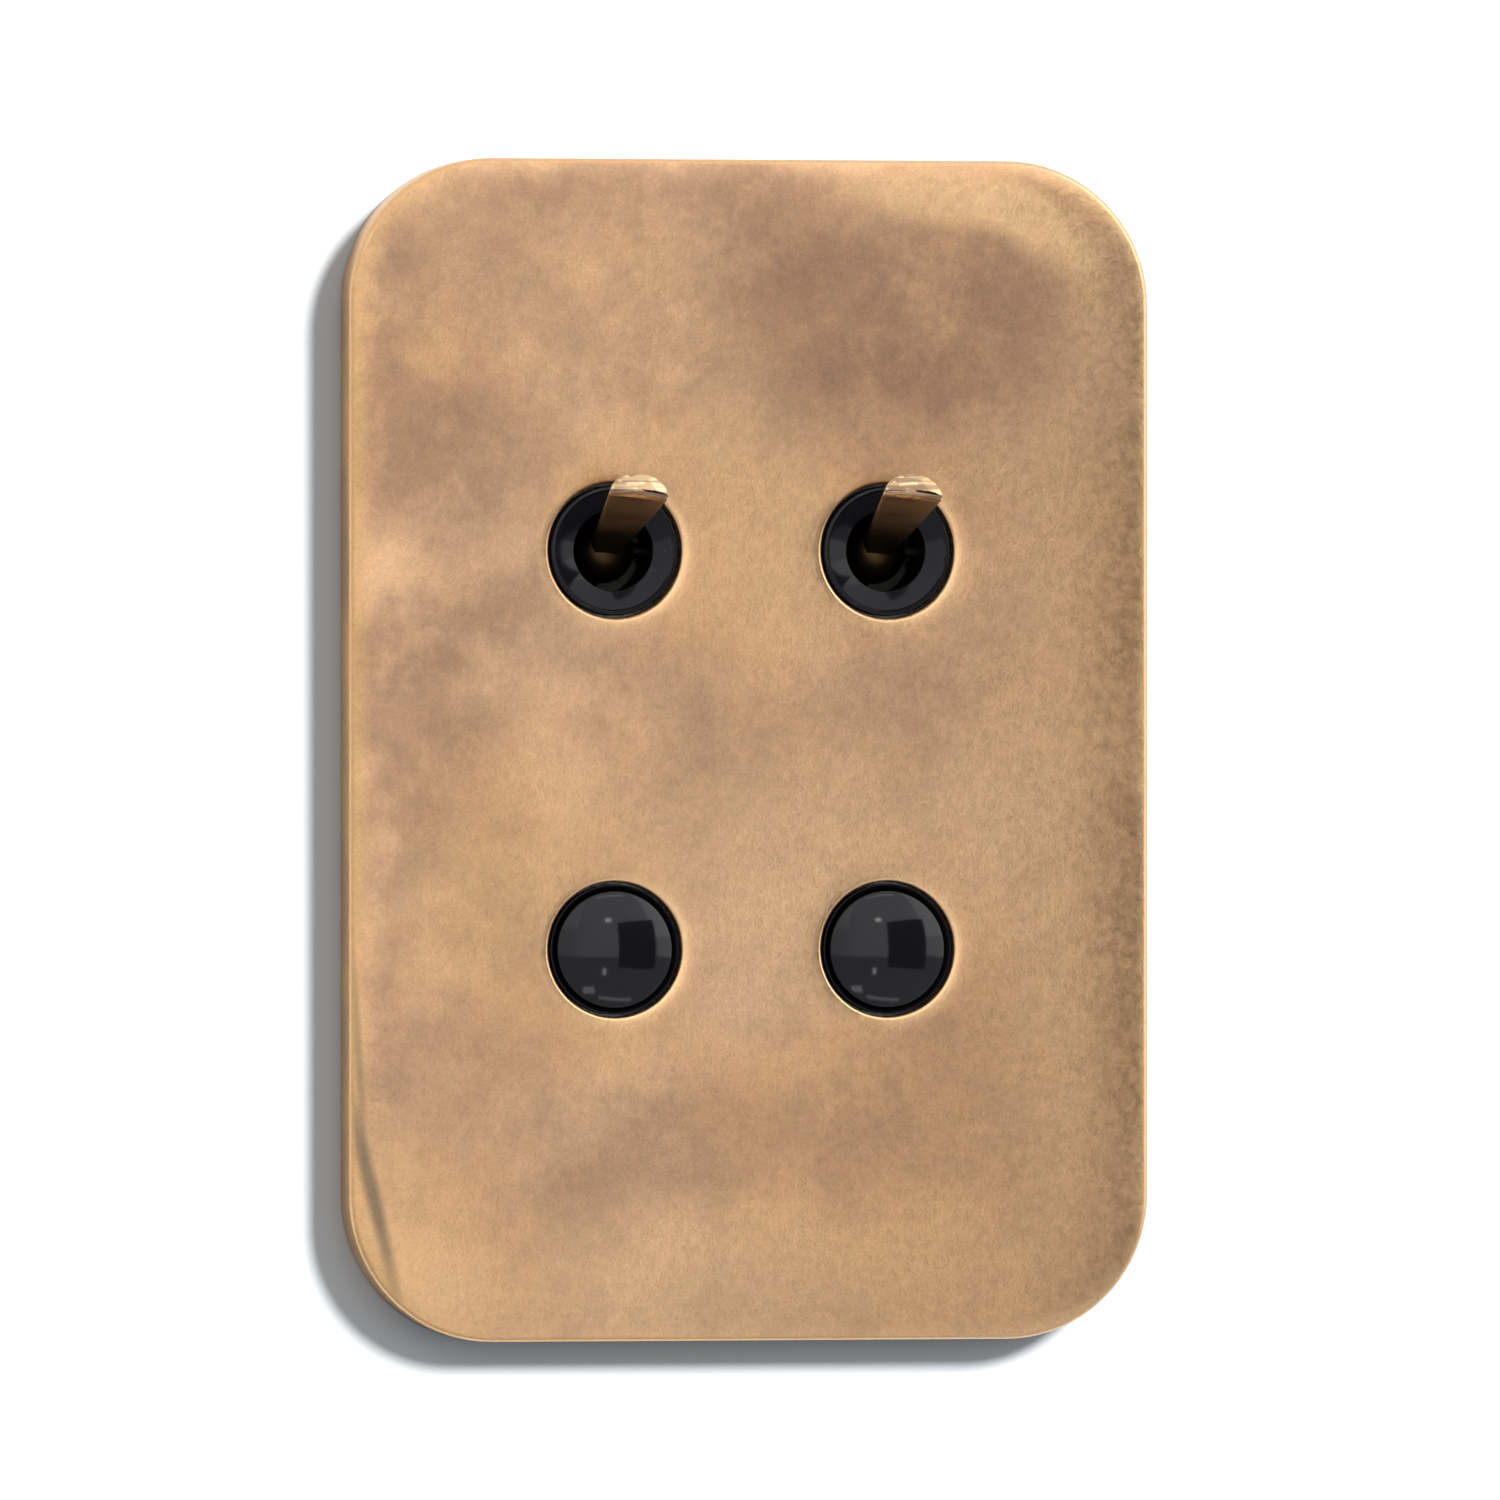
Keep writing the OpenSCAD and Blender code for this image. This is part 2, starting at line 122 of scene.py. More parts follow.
def tidy(obj, sharp_deg=35, merge=1e-7):
    """Joins double points, points every face outwards, and shades smooth up to the given angle."""
    bm = bmesh.new()
    bm.from_mesh(obj.data)
    bmesh.ops.remove_doubles(bm, verts=bm.verts, dist=merge)
    bmesh.ops.recalc_face_normals(bm, faces=bm.faces)
    for face in bm.faces:
        face.smooth = True
    for edge in bm.edges:
        edge.smooth = len(edge.link_faces) == 2 and edge.calc_face_angle(0) < math.radians(sharp_deg)
    bm.to_mesh(obj.data)
    bm.free()
    return obj


def rounded(corners, steps=5, closed=True):
    """A polyline from (a, b, fillet) corners, with each fillet drawn as an arc."""
    out = []
    count = len(corners)
    for i, (a, b, fillet) in enumerate(corners):
        here = Vector((a, b))
        at_end = not closed and i in (0, count - 1)
        if fillet <= 0 or at_end:
            out.append(here)
            continue
        before = (Vector(corners[i - 1][:2]) - here).normalized()
        after = (Vector(corners[(i + 1) % count][:2]) - here).normalized()
        half = before.angle(after) / 2
        centre = here + (before + after).normalized() * fillet / math.sin(half)
        start = here + before * fillet / math.tan(half) - centre
        end = here + after * fillet / math.tan(half) - centre
        turn = start.angle_signed(end)
        out += [centre + Matrix.Rotation(-turn * k / steps, 2) @ start for k in range(steps + 1)]
    return out


def lathe(name, outline, centre, segments=128, closed=True):
    """Turns a (radius, y) outline about the Y axis through centre. Points on the axis become poles."""
    points, rings, faces = [], [], []
    for radius, y in outline:
        if radius < 1e-9:
            rings.append([len(points)] * segments)
            points.append((centre.x, y, centre.z))
            continue
        rings.append(list(range(len(points), len(points) + segments)))
        for k in range(segments):
            angle = math.tau * k / segments
            points.append((centre.x + radius * math.cos(angle), y, centre.z + radius * math.sin(angle)))
    pairs = list(zip(rings, rings[1:] + rings[:1])) if closed else list(zip(rings, rings[1:]))
    for ring, following in pairs:
        for k in range(segments):
            n = (k + 1) % segments
            corners = [ring[k], ring[n], following[n], following[k]]
            face = [c for j, c in enumerate(corners) if c not in corners[:j]]
            if len(face) > 2:
                faces.append(face)
    return tidy(new_object(name, points, faces))


def tube_along(name, path, radius, sides=12):
    """A tube of round wire along a list of points, closed at both ends."""
    points, faces = [], []
    side = Vector((0, 1, 0))
    for i, here in enumerate(path):
        ahead = path[min(i + 1, len(path) - 1)] - path[max(i - 1, 0)]
        out = ahead.cross(side).normalized()
        up = out.cross(ahead).normalized()
        for k in range(sides):
            angle = math.tau * k / sides
            points.append(here + radius * (out * math.cos(angle) + up * math.sin(angle)))
    for i in range(len(path) - 1):
        for k in range(sides):
            n = (k + 1) % sides
            faces.append([i * sides + k, i * sides + n, (i + 1) * sides + n, (i + 1) * sides + k])
    faces.append(list(range(sides)))
    faces.append(list(range((len(path) - 1) * sides, len(path) * sides)))
    return tidy(new_object(name, points, faces), sharp_deg=50)


def bake(obj):
    """Turns an object's modifiers into its mesh."""
    depsgraph = bpy.context.evaluated_depsgraph_get()
    mesh = bpy.data.meshes.new_from_object(obj.evaluated_get(depsgraph))
    obj.modifiers.clear()
    obj.data = mesh
    return obj


def baked_bevel(obj, width, segments, sharp_deg):
    """Rounds off every edge that turns by more than the given angle."""
    bevel = obj.modifiers.new("edges", "BEVEL")
    bevel.width = width
    bevel.segments = segments
    bevel.limit_method = "ANGLE"
    bevel.angle_limit = math.radians(sharp_deg)
    return bake(obj)


def softened(node, width):
    """A copy of a CAD node whose sharp edges are rounded off, to stand for it."""
    bm = bmesh.new()
    bm.from_mesh(NODES[node].data)
    bmesh.ops.remove_doubles(bm, verts=bm.verts, dist=2e-6)
    bmesh.ops.dissolve_limit(bm, angle_limit=math.radians(0.5), verts=bm.verts, edges=bm.edges)
    mesh = bpy.data.meshes.new(node + "_soft")
    bm.to_mesh(mesh)
    bm.free()
    obj = bpy.data.objects.new(node + "_soft", mesh)
    bpy.context.scene.collection.objects.link(obj)
    tidy(baked_bevel(obj, width, 2, 32), sharp_deg=40)
    flat = obj.modifiers.new("flat", "WEIGHTED_NORMAL")
    flat.mode = "FACE_AREA"
    flat.weight = 100
    flat.keep_sharp = True
    return bake(obj)


def settle(obj, body, material, slot, *nodes):
    """Gives a piece its body, its material, and the CAD nodes that it stands for; the slot argument is not
    used.
    """
    obj.data.materials.clear()
    obj.data.materials.append(material)
    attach(obj, body)
    if nodes:
        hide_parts(*nodes)
    return obj


# ---------------------------------------------------------------- material helpers

class Shader:
    """A Principled material under construction, in which inputs are set or linked by name."""

    def __init__(self, name):
        self.material = bpy.data.materials.new(name)
        self.material.use_nodes = True
        self.tree = self.material.node_tree
        self.tree.nodes.clear()
        self.surface = self.tree.nodes.new("ShaderNodeBsdfPrincipled")
        output = self.tree.nodes.new("ShaderNodeOutputMaterial")
        self.tree.links.new(self.surface.outputs[0], output.inputs["Surface"])
        self.place = self.add("TexCoord").outputs["Object"]

    def put(self, socket, value):
        if isinstance(value, bpy.types.NodeSocket):
            self.tree.links.new(value, socket)
        else:
            socket.default_value = value

    def add(self, kind, **settings):
        node = self.tree.nodes.new("ShaderNode" + kind)
        for key, value in settings.items():
            setattr(node, key, value)
        return node

    def set(self, **inputs):
        """Principled inputs, with underscores for the spaces in their names."""
        for key, value in inputs.items():
            self.put(self.surface.inputs[key.replace("_", " ")], value)

    def scaled(self, scale, rotation=(0, 0, 0), location=(0, 0, 0), source=None):
        node = self.add("Mapping")
        self.put(node.inputs["Vector"], source or self.place)
        self.put(node.inputs["Scale"], scale)
        self.put(node.inputs["Rotation"], rotation)
        self.put(node.inputs["Location"], location)
        return node.outputs[0]

    def noise(self, scale, detail, rough, source=None, colour=False):
        node = self.add("TexNoise")
        self.put(node.inputs["Vector"], source or self.place)
        self.put(node.inputs["Scale"], scale)
        self.put(node.inputs["Detail"], detail)
        self.put(node.inputs["Roughness"], rough)
        return node.outputs["Color" if colour else 0]

    def cells(self, scale):
        node = self.add("TexVoronoi")
        self.put(node.inputs["Vector"], self.place)
        self.put(node.inputs["Scale"], scale)
        return node.outputs["Distance"]

    def maths(self, operation, a, b=0.0):
        node = self.add("Math", operation=operation)
        self.put(node.inputs[0], a)
        self.put(node.inputs[1], b)
        return node.outputs[0]

    def remap(self, value, low, high, to_low=0.0, to_high=1.0):
        """A value's way from low to high, eased, as a way from to_low to to_high."""
        node = self.add("MapRange", clamp=True, interpolation_type="SMOOTHSTEP")
        for i, entry in enumerate((value, low, high, to_low, to_high)):
            self.put(node.inputs[i], entry)
        return node.outputs[0]

    def mix(self, factor, a, b, blend="MIX"):
        node = self.add("Mix", data_type="RGBA", blend_type=blend)
        self.put(node.inputs[0], factor)
        self.put(node.inputs[6], a)
        self.put(node.inputs[7], b)
        return node.outputs[2]

    def bump(self, height, strength, distance, normal=None):
        node = self.add("Bump")
        self.put(node.inputs["Height"], height)
        self.put(node.inputs["Strength"], strength)
        self.put(node.inputs["Distance"], distance)
        if normal is not None:
            self.put(node.inputs["Normal"], normal)
        return node.outputs[0]

    def worn(self):
        """Convex edges, from the mesh's pointiness, 0 to 1."""
        return self.remap(self.add("NewGeometry").outputs["Pointiness"], 0.52, 0.60)


def rgb(red, green, blue):
    return (red, green, blue, 1.0)


def shade(colour, factor, lift=0.0, most=1.0):
    """A colour times the factor, raised by lift and held under most."""
    return rgb(*[min(c * factor + lift, most) for c in colour[:3]])


# Soft patches on the front: across, up, half width, half height in mm, tilt in degrees, strength.
# Dark clouds of patina, whose outlines are broken up; the last row, along the top edge, is painted shade that
# dims the rolled top edge
CLOUDS = [
    (3, 52, 11, 6, 10, 0.65), (14, 44, 19, 11, 15, 0.95), (6, 37, 11, 5, 10, 0.9), (22, 36, 13, 8, 0, 0.25),
    (24, 44, 11, 9, 20, 0.65), (-31, 51, 11, 8, 0, 0.55), (-38, 46, 6, 10, 0, 0.6),
    (-34, 31, 12, 8, -15, 0.8), (-30, 12, 16, 5, 20, 0.5), (-37, 12, 8, 5, 0, 0.5),
    (-36, -1, 9, 10, 0, 0.45), (-10, 4, 12, 7, -25, 0.45), (-5, -7, 12, 7, 20, 0.3),
    (21, 9, 12, 6, 15, 0.3), (31, 15, 9, 6, 0, 0.2), (34, -6, 8, 6, 0, 0.1),
    (-32, -34, 13, 9, 10, 0.42), (-9, -42, 17, 6, 10, 0.42), (8, -56, 16, 5, 0, 0.15),
    (26, -32, 14, 9, 0, 0.25), (33, 33, 9, 9, 0, 0.15), (12, -40, 8, 7, 30, 0.35),
    (-38, -17, 5, 17, 0, 0.45), (-8, 58.5, 26, 4, 0, 0.5),
]
# Places worn bright, and painted highlights: the first three rows, round the top-right corner, stand for the
# highlight on its rolled edge
BURNISH_AND_HIGHLIGHT = [
    (21, 56.3, 11, 2.8, -6, 0.9), (30.5, 53.4, 7, 3.0, -30, 1.0), (36, 47.5, 2.6, 6, 24, 0.5),
    (-6, 30, 14, 5, 60, 0.3), (0, -12, 26, 12, 0, 0.3), (3, 22, 8, 14, 10, 0.35),
    (34, -14, 8, 40, 0, 0.5), (0, -54, 42, 8, 0, 0.35),
]
# Painted reflection: narrow dark marks with smooth outlines on the lower left edge, for a dark reflection
# there
DARK_REFLECTION_STREAKS = [(-39.5, -44.5, 0.95, 13, 13.6, 0.95), (-40.9, -29, 0.55, 12, 4, 0.6)]


def patches(s, place, rows, reach):
    """The sum of soft oval patches, each 1 times its strength in its middle."""
    total = None
    for x, z, half_w, half_h, tilt, strength in rows:
        moved = s.add("VectorMath", operation="SUBTRACT")
        s.put(moved.inputs[0], place)
        s.put(moved.inputs[1], (x * MM, 0, z * MM))
        turned = s.scaled((1, 0, 1), rotation=(0, math.radians(tilt), 0), source=moved.outputs[0])
        size = (1 / (half_w * reach * MM), 0, 1 / (half_h * reach * MM))
        ball = s.add("TexGradient", gradient_type="SPHERICAL")
        s.put(ball.inputs[0], s.scaled(size, source=turned))
        soft = s.remap(ball.outputs["Fac"], 0.0, 0.85)
        part = s.maths("MULTIPLY", soft, strength)
        total = part if total is None else s.maths("ADD", total, part)
    return total


def shaken(s):
    """The place on the plate, shaken by noise, so that patches drawn with it have ragged outlines."""
    reach = 0.02
    wobble = s.add("VectorMath", operation="MULTIPLY_ADD")
    s.put(wobble.inputs[0], s.noise(60, 5, 0.62, colour=True))
    s.put(wobble.inputs[1], (reach, reach, reach))
    s.put(wobble.inputs[2], s.place)
    shifted = s.add("VectorMath", operation="SUBTRACT")
    s.put(shifted.inputs[0], wobble.outputs[0])
    s.put(shifted.inputs[1], (reach / 2, reach / 2, reach / 2))
    return shifted.outputs[0]


def patina_cover(s):
    """How much of the dark patina lies at each place, 0 to 1, the painted shade along the top edge included.
    """
    strokes = s.noise(260, 5, 0.65, source=s.scaled((1, 1, 0.55), rotation=(0, 0.6, 0)))
    broken = s.maths(
        "ADD",
        s.remap(s.noise(120, 7, 0.68), 0.3, 0.7, 0.2, 1.1),
        s.remap(strokes, 0.3, 0.7, 0.0, 0.4),
    )
    clouds = s.maths("MULTIPLY", patches(s, shaken(s), CLOUDS, 1.5), broken)
    mottle = s.remap(s.noise(75, 7, 0.66), 0.42, 0.72, 0.0, 0.45)
    left_bare = s.maths("POWER", 0.23, s.maths("ADD", clouds, mottle))
    return s.maths("SUBTRACT", 1.0, left_bare)


def burnish_and_highlight(s):
    """How far the metal is worn bright, away from the plate's outline: in patches and round the holes. Some
    patches and the rings round the holes are painted highlight as well as wear.
    """
    uneven = s.remap(s.noise(240, 6, 0.65), 0.3, 0.7, 0.7, 1.1)
    # Patches worn bright; those at the top-right corner are painted highlight.
    rubbed_and_highlight = s.maths("MULTIPLY", patches(s, s.place, BURNISH_AND_HIGHLIGHT, 1.5), uneven)
    for hole in HOLES:
        away = s.add("VectorMath", operation="DISTANCE")
        s.put(away.inputs[0], s.scaled((1, 0, 1)))
        s.put(away.inputs[1], (hole.x, 0, hole.z))
        # A bright ring round each hole: worn metal, and a painted highlight of the hole's rim.
        halo = s.remap(away.outputs["Value"], HOLE_R + 0.1 * MM, HOLE_R + 2.0 * MM, 0.75, 0.0)
        rubbed_and_highlight = s.maths("MAXIMUM", rubbed_and_highlight, halo)
    return rubbed_and_highlight


def inside_outline(s, axes):
    """The distance in from the plate's outline, in metres, right within the width of its corners."""
    squares = None
    for axis, straight in (("X", PLATE_W / 2 - CORNER), ("Z", PLATE_H / 2 - CORNER)):
        over = s.maths("SUBTRACT", s.maths("ABSOLUTE", axes[axis]), straight)
        over = s.maths("POWER", s.maths("MAXIMUM", over, 0.0), 2.0)
        squares = over if squares is None else s.maths("ADD", squares, over)
    return s.maths("SUBTRACT", CORNER, s.maths("SQRT", squares))


def patina_brass():
    """Aged brass with cloudy patina, a fine leathery grain, and worn bright edges and hole rims; with painted
    highlights on the right edge, the top-right corner and the hole rims, painted shade along the top edge,
    the left rim, the side walls and the bottom, and a painted reflection on the lower left edge.
    """
    s = Shader("patina_brass")
    split = s.add("SeparateXYZ")
    s.put(split.inputs[0], s.place)
    axes = split.outputs
    clouds = patina_cover(s)
    inside = inside_outline(s, axes)
    near = s.remap(inside, 0.5 * MM, 2.8 * MM, 1.0, 0.0)
    on_left = s.remap(axes["X"], -38 * MM, -28 * MM, 1.0, 0.0)
    on_right = s.remap(axes["X"], 20 * MM, 36 * MM, 0.0, 0.8)
    # Worn-bright places, and a painted highlight along the right edge near the outline.
    rubbed_and_highlight = s.maths("MAXIMUM", burnish_and_highlight(s), s.maths("MULTIPLY", near, on_right))
    # Painted shade: a darker orange band along the left edge.
    left_rim_shade = s.maths("MULTIPLY", near, s.maths("MULTIPLY", on_left, 0.55))
    # Painted shade: the side walls and the round at the outline are darkened, which dims their highlight.
    side_wall_shade = s.remap(inside, 0.08 * MM, 0.75 * MM, 1.0, 0.0)
    rightward = s.remap(axes["X"], -12 * MM, 30 * MM)
    # Painted shade: the back part of the side wall along the bottom, made nearly black.
    low_edge = s.remap(axes["Z"], 1 * MM - PLATE_H / 2, 7 * MM - PLATE_H / 2, 1.0, 0.0)
    painted_shade = s.maths("MULTIPLY", low_edge, s.remap(axes["Y"], -3.6 * MM, -1.6 * MM))

    warm = s.remap(s.noise(26, 5, 0.55, source=s.scaled((1, 1, 1), location=(0.3, 0, 0.1))), 0.35, 0.65)
    olive = s.remap(s.noise(40, 5, 0.55, source=s.scaled((1, 1, 1), location=(0.7, 0, 0.4))), 0.5, 0.72)
    body = s.mix(warm, rgb(0.90, 0.56, 0.325), rgb(0.87, 0.505, 0.26))
    body = s.mix(s.maths("MULTIPLY", olive, 0.6), body, rgb(0.78, 0.50, 0.25))
    body = s.mix(clouds, body, rgb(0.37, 0.22, 0.145))
    body = s.mix(rubbed_and_highlight, body, rgb(1.0, 0.635, 0.34))
    body = s.mix(left_rim_shade, body, rgb(0.70, 0.43, 0.185))
    # Painted reflection: the dark marks on the lower left edge.
    body = s.mix(patches(s, s.place, DARK_REFLECTION_STREAKS, 1.3), body, rgb(0.28, 0.20, 0.125))
    # The colour of the painted shade on the side walls, more orange on the left.
    side_shade_colour = s.mix(rightward, rgb(0.66, 0.40, 0.19), rgb(0.64, 0.43, 0.25))
    body = s.mix(side_wall_shade, body, side_shade_colour)
    body = s.mix(painted_shade, body, rgb(0.10, 0.07, 0.05))

    fine = s.noise(4200, 3, 0.7)
    fibre = s.noise(1100, 5, 0.72)
    grain = s.maths("ADD", s.remap(fine, 0.3, 0.7, 0.92, 1.08), s.remap(fibre, 0.3, 0.7, -0.05, 0.05))
    tone = s.add("CombineXYZ")
    for socket in tone.inputs:
        s.put(socket, grain)
    colour = s.mix(1.0, body, tone.outputs[0], blend="MULTIPLY")
    colour = s.mix(s.maths("MULTIPLY", s.worn(), 0.3), colour, rgb(0.86, 0.60, 0.34))
    rough = s.maths("ADD", s.remap(clouds, 0.0, 1.0, 0.36, 0.50), s.remap(fibre, 0.2, 0.8, -0.04, 0.05))
    rough = s.maths("SUBTRACT", rough, s.maths("MULTIPLY", rubbed_and_highlight, 0.07))
    normal = s.bump(fine, 0.35, 0.03 * MM)
    normal = s.bump(fibre, 0.45, 0.06 * MM, normal)
    normal = s.bump(s.noise(150, 3, 0.5), 0.08, 0.2 * MM, normal)
    s.set(Base_Color=colour, Metallic=1.0, Roughness=rough, Normal=normal)
    return s.material


def lever_brass():
    """Brass of the levers: a bright end with brown lines across it, the brown a painted reflection of dark
    streaks, and painted shade that darkens the bar inwards.
    """
    s = Shader("lever_brass")
    across = s.noise(1900, 3, 0.6, source=s.scaled((0.07, 0.12, 1), rotation=(0, -0.1, 0)))
    tarnish = s.remap(s.noise(300, 4, 0.6), 0.40, 0.72)
    split = s.add("SeparateXYZ")
    s.put(split.inputs[0], s.place)
    depth = split.outputs["Y"]
    at_end = s.remap(depth, -18.1 * MM, -17.7 * MM, 1.0, 0.12)
    # Painted reflection: brown lines across the end, on polishing lines that also roughen and bump it.
    streak_reflection = s.maths("MULTIPLY", s.remap(across, 0.44, 0.57), at_end)
    colour = s.mix(s.maths("MULTIPLY", tarnish, 0.5), rgb(0.63, 0.43, 0.255), rgb(0.44, 0.275, 0.15))
    colour = s.mix(s.maths("MULTIPLY", streak_reflection, 0.65), colour, rgb(0.16, 0.095, 0.06))
    colour = s.mix(s.maths("MULTIPLY", s.worn(), 0.7), colour, rgb(0.85, 0.60, 0.30))
    # Painted shade: the bar darkens behind the end and fully towards the bezel, over the ball too.
    painted_shade = s.remap(depth, -18.3 * MM, -17.7 * MM, 0.0, 0.72)
    painted_shade = s.maths("MAXIMUM", painted_shade, s.remap(depth, -16 * MM, -6 * MM))
    colour = s.mix(painted_shade, colour, rgb(0.075, 0.047, 0.022))
    rough = s.maths("ADD", s.remap(across, 0.3, 0.7, 0.09, 0.17), s.maths("MULTIPLY", painted_shade, 0.1))
    rough = s.maths("ADD", rough, s.remap(depth, -18.1 * MM, -16.5 * MM, 0.0, 0.18))
    normal = s.bump(across, 0.13, 0.04 * MM)
    normal = s.bump(s.noise(350, 2, 0.5), 0.05, 0.2 * MM, normal)
    s.set(Base_Color=colour, Metallic=1.0, Roughness=rough, Normal=normal)
    return s.material


def black_gloss(name, shine, rough):
    """Polished black plastic of the given specular level, with dust specks and a faint haze of scuffs."""
    s = Shader(name)
    specks = s.remap(s.cells(900), 0.0, 0.045, 1.0, 0.0)
    rare = s.remap(s.noise(420, 2, 0.5), 0.60, 0.66)
    dust = s.maths("MULTIPLY", specks, rare)
    stretched = s.scaled((1, 1, 0.15), rotation=(0, 0.7, 0))
    scuffs = s.remap(s.noise(700, 4, 0.65, source=stretched), 0.55, 0.8)
    colour = s.mix(dust, rgb(0.006, 0.006, 0.0085), rgb(0.25, 0.25, 0.25))
    rough_map = s.maths("ADD", s.remap(scuffs, 0.0, 1.0, rough, rough + 0.08), s.maths("MULTIPLY", dust, 0.4))
    normal = s.bump(s.noise(160, 2, 0.5), 0.05, 0.2 * MM)
    s.set(Base_Color=colour, Roughness=rough_map, Normal=normal, IOR=1.5, Specular_IOR_Level=shine)
    return s.material


def moulded(name, colour, rough=0.48, strength=0.2):
    """Moulded plastic with a fine spark-eroded texture and lighter worn edges."""
    s = Shader(name)
    base = s.mix(s.remap(s.noise(90, 4, 0.6), 0.35, 0.7), colour, shade(colour, 1.35))
    base = s.mix(s.maths("MULTIPLY", s.worn(), 0.35), base, shade(colour, 2.2, lift=0.02, most=0.9))
    texture = s.noise(2600, 3, 0.6)
    rough_map = s.remap(texture, 0.3, 0.7, rough - 0.06, rough + 0.08)
    normal = s.bump(texture, strength, 0.05 * MM)
    s.set(Base_Color=base, Roughness=rough_map, Normal=normal, IOR=1.5)
    return s.material


def plated(name, colour, rough=0.3, tint=None, grain=1400):
    """Metal parts: drawn or brushed grain, cloudy plating and brighter edges."""
    s = Shader(name)
    cloud = s.remap(s.noise(130, 5, 0.6), 0.35, 0.7)
    base = s.mix(cloud, colour, tint or shade(colour, 0.78))
    base = s.mix(s.maths("MULTIPLY", s.worn(), 0.5), base, shade(colour, 1.25))
    lines = s.noise(grain, 4, 0.6, source=s.scaled((1, 1, 0.06)))
    drawn = s.remap(lines, 0.3, 0.7, rough - 0.07, rough + 0.07)
    rough_map = s.maths("ADD", drawn, s.maths("MULTIPLY", cloud, 0.08))
    normal = s.bump(lines, 0.12, 0.04 * MM)
    s.set(Base_Color=base, Metallic=1.0, Roughness=rough_map, Normal=normal)
    return s.material


PATINA = patina_brass()
LEVER = lever_brass()
BEZEL_BLACK = black_gloss("black_gloss", 0.235, 0.07)
CAP_BLACK = black_gloss("cap_black", 0.34, 0.085)
COLLAR_BLACK = black_gloss("collar_black", 0.15, 0.09)
HOUSING = moulded("housing_black", rgb(0.018, 0.018, 0.021))
BOARD = moulded("base_grey", rgb(0.048, 0.049, 0.055), rough=0.55, strength=0.3)
NYLON = moulded("carriage_ivory", rgb(0.72, 0.68, 0.56), rough=0.42, strength=0.12)
BLACKENED = plated(
    "blackened_metal", rgb(0.022, 0.021, 0.022), rough=0.45, tint=rgb(0.035, 0.033, 0.032),
)
ZINC = plated("zinc_steel", rgb(0.70, 0.72, 0.73), rough=0.26, tint=rgb(0.60, 0.60, 0.52))
SHEET = plated("sheet_steel", rgb(0.58, 0.59, 0.60), rough=0.36, tint=rgb(0.50, 0.50, 0.46), grain=1800)
NICKEL = plated("nickel", rgb(0.72, 0.71, 0.69), rough=0.2)
BRASS = plated("brass_parts", rgb(0.80, 0.60, 0.29), rough=0.24, tint=rgb(0.62, 0.42, 0.18))
COPPER = plated("copper_contact", rgb(0.78, 0.42, 0.27), rough=0.28)
GREEN = plated("green_screw", rgb(0.05, 0.27, 0.10), rough=0.32, tint=rgb(0.08, 0.34, 0.16))


# ---------------------------------------------------------------- faceplate

# The round at the outline, and the two slopes that lead down to it, each a fall over a width
EDGE = 0.5 * MM
SOFT_DROP, SOFT_WIDTH = 0.40 * MM, 9 * MM
ROLL_DROP, ROLL_WIDTH = 0.20 * MM, 2.4 * MM
# The round at each hole and the slight dish round it, and the waviness of the front
RIM_ROLL = 0.42 * MM
DISH_DROP, DISH_WIDTH = 0.06 * MM, 2.2 * MM
RIPPLE = 0.012 * MM
BACK_ROUND = 0.25 * MM
FILL_SPACING = 1.5 * MM


def outline(inset, corner_steps=20, across=34, up=56):
    """The plate's rounded rectangle, moved in by inset, as (x, z) points with matching counts."""
    radius = CORNER - inset
    mid_x, mid_z = PLATE_W / 2 - CORNER, PLATE_H / 2 - CORNER
    corners = [(mid_x, mid_z, 0), (-mid_x, mid_z, 90), (-mid_x, -mid_z, 180), (mid_x, -mid_z, 270)]
    points = []
    for i, (x, z, start) in enumerate(corners):
        for k in range(corner_steps + 1):
            angle = math.radians(start + 90 * k / corner_steps)
            points.append(Vector((x + radius * math.cos(angle), z + radius * math.sin(angle))))
        next_x, next_z, _ = corners[(i + 1) % 4]
        angle = math.radians(start + 90)
        away = Vector((radius * math.cos(angle), radius * math.sin(angle)))
        steps = across if i % 2 == 0 else up
        for k in range(1, steps):
            points.append(Vector((x, z)).lerp(Vector((next_x, next_z)), k / steps) + away)
    return points


def edge_distance(x, z):
    """How far a point of the front lies inside the plate's outline."""
    over_x = abs(x) - (PLATE_W / 2 - CORNER)
    over_z = abs(z) - (PLATE_H / 2 - CORNER)
    if over_x > 0 and over_z > 0:
        return CORNER - math.hypot(over_x, over_z)
    return CORNER - max(over_x, over_z)


def front_surface(x, z):
    """The front's y without the edge's round: a flat that falls off towards the outline and the holes."""
    y = FRONT
    inside = edge_distance(x, z)
    if inside < SOFT_WIDTH:
        y += SOFT_DROP * (1 - inside / SOFT_WIDTH) ** 2.5
    if inside < ROLL_WIDTH:
        y += ROLL_DROP * (1 - inside / ROLL_WIDTH) ** 2
    for hole in HOLES:
        out = math.hypot(x - hole.x, z - hole.z) - HOLE_R
        if out < DISH_WIDTH:
            y += DISH_DROP * (1 - max(out, 0) / DISH_WIDTH) ** 2
    ripple = noise.noise(Vector((x, 0.3, z)) * 62) + 0.5 * noise.noise(Vector((x, 0.7, z)) * 130)
    return y + RIPPLE * (1 + ripple)


